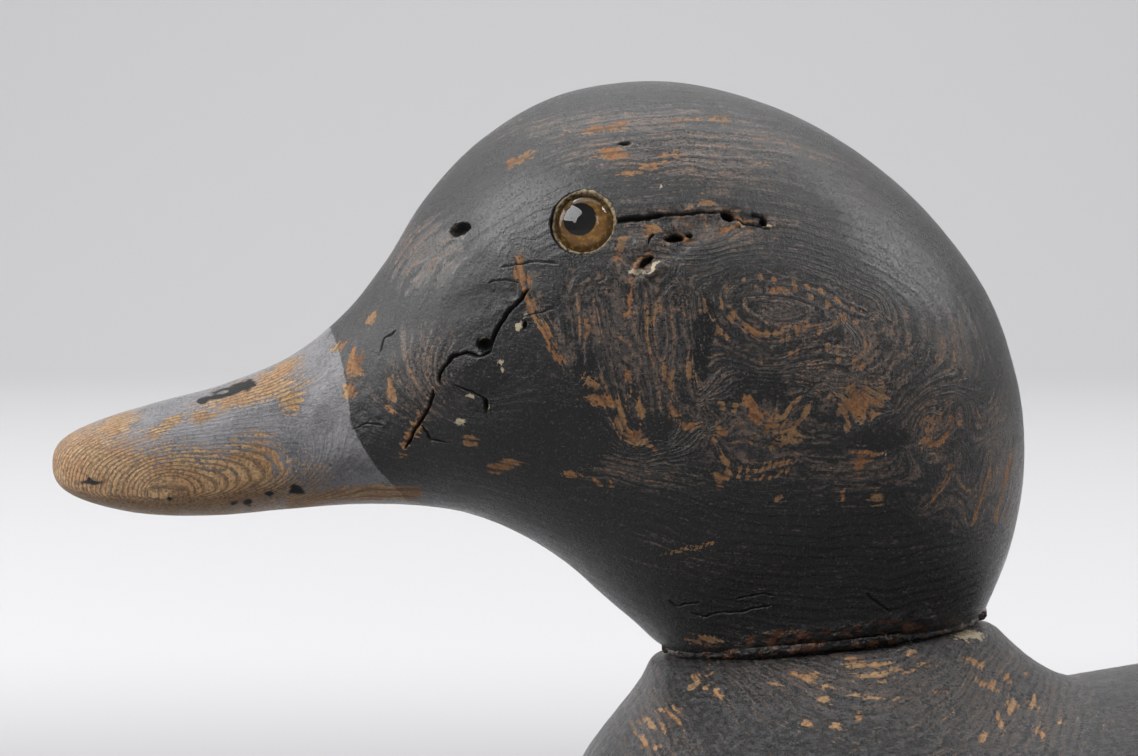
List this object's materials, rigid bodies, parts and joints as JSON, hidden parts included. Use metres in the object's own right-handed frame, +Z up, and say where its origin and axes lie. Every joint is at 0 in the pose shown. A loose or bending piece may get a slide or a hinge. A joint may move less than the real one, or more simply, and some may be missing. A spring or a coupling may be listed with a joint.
{
  "type": "duck decoy bust",
  "caption": "Bust of a carved wooden bluebill decoy: head with bill and glass eyes on the fore part of the body, flat below.",
  "frame": {"origin": "centre of the bounding box's underside, on the flat cut below the breast", "axes": "-X the way the bill points, +Y the decoy's right side, +Z up"},
  "size_m": [0.1684, 0.1354, 0.1123],
  "materials": {
    "painted_wood_head": "black and grey paint worn through to brown wood and grain, satin, cracked and pitted",
    "painted_wood_body": "black paint worn to brown wood in streaks, satin, bare sawn wood on the cut faces",
    "glass_eye": "clear polished glass over an amber iris and a black pupil",
    "eye_iris": "amber and black paint behind the glass",
    "eye_putty": "old hardened putty, dry and crumbling",
    "neck_filler": "glossy hardened dark resin with brown patches"
  },
  "bodies": {
    "root": {"head": "painted_wood_head", "body": "painted_wood_body", "eye_left": "glass_eye", "eye_right": "glass_eye", "neck_filler": "neck_filler"}
  },
  "joints": []
}
